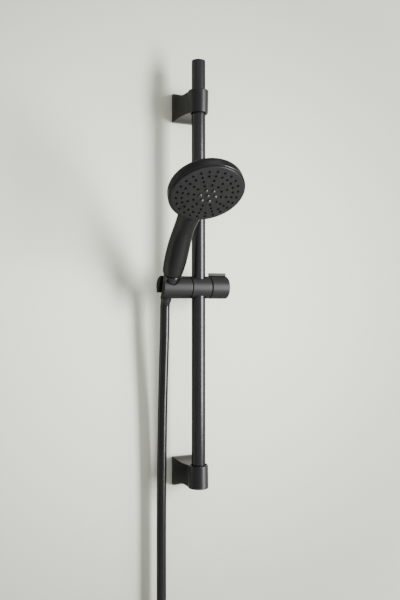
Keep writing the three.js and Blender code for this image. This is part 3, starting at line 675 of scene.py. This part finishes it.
def head_coordinates(p):
    """Radius from the head's axis, and height behind the face plane."""
    q = p - HEAD_STRAIGHT
    behind = -(q @ FACE_STRAIGHT)
    flat = q + behind[:, None] * FACE_STRAIGHT
    return np.linalg.norm(flat, axis=1), behind


def shell_field(p):
    """The casing: a flat round head with a domed back, blended into the handle, open at both ends."""
    r, w = head_coordinates(p)
    ratio = np.maximum(r, 0.01) / HEAD["r"]
    rise = np.maximum(w - HEAD["band"], 0.0) / HEAD["dome"]
    round_power, rise_power = 2.6, 2.4
    value = ratio ** round_power + rise ** rise_power - 1
    slope = np.hypot(round_power / HEAD["r"] * ratio ** (round_power - 1),
                     rise_power / HEAD["dome"] * rise ** (rise_power - 1))
    head = soft_max(value / np.maximum(slope, 0.03), -w, 1.6)
    s = p @ LIFT
    handle = soft_max(handle_distance(p), HANDLE_START - s, 1.4)
    d = soft_min(head, handle, 9)
    d = carve(d, np.maximum(r - HEAD["mouth"], w - HEAD["mouth_deep"]), 0.5)
    bore = np.hypot(p[:, 0], p[:, 1] * LIFT[2] - p[:, 2] * LIFT[1]) - HEAD["bore"]
    return carve(d, np.maximum(bore, s - HEAD["bore_top"]), 0.4)


def move_straight_mesh(obj, turned, at):
    """Turns a mesh made straight, and moves it to a place in millimetres."""
    matrix = Matrix(turned.tolist()).to_4x4()
    matrix.translation = Vector(at * MM)
    obj.data.transform(matrix)


def build_handset():
    shell = formula_mesh("handset_casing", shell_field, (-54, -187, 10), (54, 2, 166), 0.9, (0, 0, 0))
    move_straight_mesh(shell, TURNED, HANDSET_AT)
    finish_piece(shell, "matt_plastic", "handset", "handset_shell")
    build_handset_fittings()


def build_handset_fittings():
    low, top = HOSE["collar_end"], HOSE["collar_top"]
    bore, collar, neck, flange = HOSE["bore"], HOSE["collar"], 5.1, 9.1
    flange_at, flange_end = 3.9, 5.4
    end = rounded([
        (bore, low), (collar, low, 0.5), (collar, top, 0.3), (neck, top), (neck, flange_at),
        (flange, flange_at), (flange, flange_end), (bore, flange_end), (bore, low),
    ])
    fitting = make_object("hose_collar", *turn(end, 56, LIFT, HANDSET_AT))
    finish_piece(fitting, "matt_metal", "handset", "hose_end_fitting")
    top_r, thread, bore = NUT["top_r"], NUT["thread"], NUT["bore"]
    cone = rounded([
        (bore, NUT["bottom"]), (NUT["bottom_r"], NUT["bottom"], 0.7), (top_r, NUT["top"] - 2.2, 6),
        (top_r - 0.4, NUT["top"], 1.8), (thread, NUT["top"]), (thread, NUT["floor"]), (bore, NUT["floor"]),
        (bore, NUT["bottom"]),
    ])
    nut = make_object("hose_cone_nut", *turn(cone, 72, LIFT, HANDSET_AT))
    finish_piece(nut, "matt_metal", "hose_nut", "cone_nut")
    nut.data.materials[0] = POLISHED_BLACK


# ---------------------------------------------------------------- spray face
RAIN_RINGS = [(40.4, 24), (33.3, 24), (25.9, 12), (18.5, 12)]     # radius, number of jets
CENTRE_RING = (10.2, 6)
RAIN_JET = {"root": 1.7, "base": 1.25, "tip": 0.95, "hole": 0.4, "stands": 1.0}
BIG_JET = {"r": 2.35, "stands": 2.1, "hole": 0.3, "hole_deep": 1.4}
JET_ROOT = -2.5              # how far the jets reach behind the face


def crown(r):
    """How far the face stands out of the face plane, at a radius."""
    return HEAD["proud"] + HEAD["crown"] * (1 - (r / HEAD["lip"]) ** 2)


def on_face(profile, places, segments):
    """Copies of a turned jet, set on the face. The profile's height is out of the face's surface."""
    parts = []
    across = TURNED @ (1, 0, 0)
    side = np.cross(FACE_OUT, across)
    for x, y in places:
        at = HEAD_AT + across * x + side * y + FACE_OUT * crown(math.hypot(x, y))
        parts.append(turn(profile, segments, FACE_OUT, at))
    return gather(parts)


def build_face_plate():
    lip, back, inside, behind = HEAD["lip"], 0.3, HEAD["face"] - 0.2, -3
    face = [(r, crown(r) - 0.2) for r in np.linspace(0, lip - 4, 22)]
    face += rounded([
        (lip - 3, crown(lip - 3) - 0.2), (lip, crown(lip) - 0.2, 1.05), (lip, back, 0.2), (inside, back),
        (inside, behind), (0, behind),
    ], 6)
    plate = make_object("spray_plate", *turn(face, 96, FACE_OUT, HEAD_AT), 50)
    finish_piece(plate, "face_grey", "spray_head", "spray_face")


def build_jets():
    """Soft rain jets in rings, and glossy domed massage jets in the middle."""
    root, base, tip, hole, stands = RAIN_JET.values()
    small = rounded([
        (0, JET_ROOT), (root, JET_ROOT), (root, 0.05, 0.2), (base, 0.2, 0.1), (tip, stands, 0.2),
        (hole + 0.05, stands, 0.1), (hole, 0.2), (0, 0.1),
    ], 2)
    rain = [place for ring in RAIN_RINGS for place in circle(*ring)]
    mat = make_object("rain_jets", *on_face(small, rain, 18), 50)
    finish_piece(mat, "nozzle_rubber", "spray_head", "nozzle_mat")
    r, stands, hole, hole_deep = BIG_JET.values()
    big = [(0, JET_ROOT), (r, JET_ROOT), (r, 0)]
    big += [(r * math.cos(a), stands * math.sin(a)) for a in np.radians(range(8, 81, 8))]
    big += [(hole, stands - 0.05), (hole, hole_deep), (0, hole_deep)]
    jets = make_object("massage_jets", *on_face(big, [(0, 0), *circle(*CENTRE_RING)], 28), 50)
    finish_piece(jets, "jet_gloss", "spray_head", "centre_jets")


# ---------------------------------------------------------------- backdrop and light
WALL_BEHIND = 0.6            # the wall stands this far behind the wall plates, in millimetres
WALL_TINT = (0.985, 1, 0.86)


def stage_material(name, colour):
    material = bpy.data.materials.new(name)
    material.use_nodes = True
    shader = material.node_tree.nodes["Principled BSDF"]
    shader.inputs["Base Color"].default_value = colour
    shader.inputs["Roughness"].default_value = 0.9
    shader.inputs["Specular IOR Level"].default_value = 0.1
    return material


def wall_material():
    """Pale paint with painted shade, darker away from the object where the light falls off; clear from behind and
    to what touches it.
    """
    material = stage_material("wall_paint", rgb(1))
    nodes, links = material.node_tree.nodes, material.node_tree.links
    shader = nodes["Principled BSDF"]
    place = nodes.new("ShaderNodeTexCoord")
    # Painted shade: the wall's colour drops from 0.71 to 0.35 with distance from a point a little left of the
    # slider, standing in for light falling off across the wall.
    reach = nodes.new("ShaderNodeVectorMath")
    reach.operation = "DISTANCE"
    reach.inputs[1].default_value = SLIDER_AT * MM * (1, 0, 1) - (0.08, 0, 0)
    painted_shade_falloff = nodes.new("ShaderNodeMapRange")
    painted_shade_falloff.interpolation_type = "SMOOTHSTEP"
    painted_shade_falloff.inputs["From Min"].default_value = 0.05
    painted_shade_falloff.inputs["From Max"].default_value = 0.65
    tone = nodes.new("ShaderNodeMix")
    tone.data_type = "RGBA"
    tone.inputs["A"].default_value = rgb(0.71, WALL_TINT)
    tone.inputs["B"].default_value = rgb(0.35, WALL_TINT)
    links.new(place.outputs["Object"], reach.inputs[0])
    links.new(reach.outputs["Value"], painted_shade_falloff.inputs["Value"])
    links.new(painted_shade_falloff.outputs["Result"], tone.inputs["Factor"])
    links.new(tone.outputs["Result"], shader.inputs["Base Color"])
    geometry, path, clear, mix = (
        nodes.new(f"ShaderNode{n}") for n in ("NewGeometry", "LightPath", "BsdfTransparent", "MixShader")
    )
    close = nodes.new("ShaderNodeMath")
    close.operation = "LESS_THAN"
    close.inputs[1].default_value = 2.5 * WALL_BEHIND * MM
    either = nodes.new("ShaderNodeMath")
    either.operation = "MAXIMUM"
    links.new(path.outputs["Ray Length"], close.inputs[0])
    links.new(geometry.outputs["Backfacing"], either.inputs[0])
    links.new(close.outputs[0], either.inputs[1])
    links.new(either.outputs[0], mix.inputs[0])
    links.new(shader.outputs[0], mix.inputs[1])
    links.new(clear.outputs[0], mix.inputs[2])
    links.new(mix.outputs[0], nodes["Material Output"].inputs["Surface"])
    return material


def build_stage():
    x, z = 3500, 2500
    corners = [(-x, WALL_BEHIND, -z), (x, WALL_BEHIND, -z), (x, WALL_BEHIND, z), (-x, WALL_BEHIND, z)]
    wall = make_object("backdrop_wall", corners, [[0, 1, 2, 3]])
    wall.data.materials.append(wall_material())
    side, low = 5000, -1500
    corners = [(-side, -side, low), (side, -side, low), (side, side, low), (-side, side, low)]
    floor = make_object("floor", corners, [[0, 1, 2, 3]])
    floor.data.materials.append(stage_material("floor_paint", rgb(0.6)))


def softbox(name, azimuth, elevation, distance, width, height, brightness):
    """An area light seen from the object at azimuth, right of square to the wall, and elevation."""
    a, e = math.radians(azimuth), math.radians(elevation)
    target = Vector((0, RAIL_Y * MM, SLIDER_AT[2] * MM))
    away = Vector((math.sin(a) * math.cos(e), -math.cos(a) * math.cos(e), math.sin(e)))
    data = bpy.data.lights.new(name, "AREA")
    data.shape = "RECTANGLE"
    data.size, data.size_y = width, height
    data.energy = brightness * math.pi * width * height
    light = bpy.data.objects.new(name, data)
    light.location = target + away * distance
    light.rotation_euler = (-away).to_track_quat("-Z", "Y").to_euler()
    bpy.context.scene.collection.objects.link(light)


def build_light():
    softbox("window", 40.5, 0.5, 1.9, 0.45, 1.5, 52)
    softbox("window_side", 57, -2, 2.0, 0.7, 1.4, 6)
    softbox("ceiling", 20, 62, 2.2, 1.8, 1.2, 1.6)
    world = bpy.data.worlds.new("world")
    world.use_nodes = True
    sky = world.node_tree.nodes["Background"]
    sky.inputs["Color"].default_value = (1, 1, 0.99, 1)
    sky.inputs["Strength"].default_value = 0.76
    bpy.context.scene.world = world


build_rail()
build_brackets()
build_slider()
build_handset()
build_face_plate()
build_jets()
build_stage()
build_light()
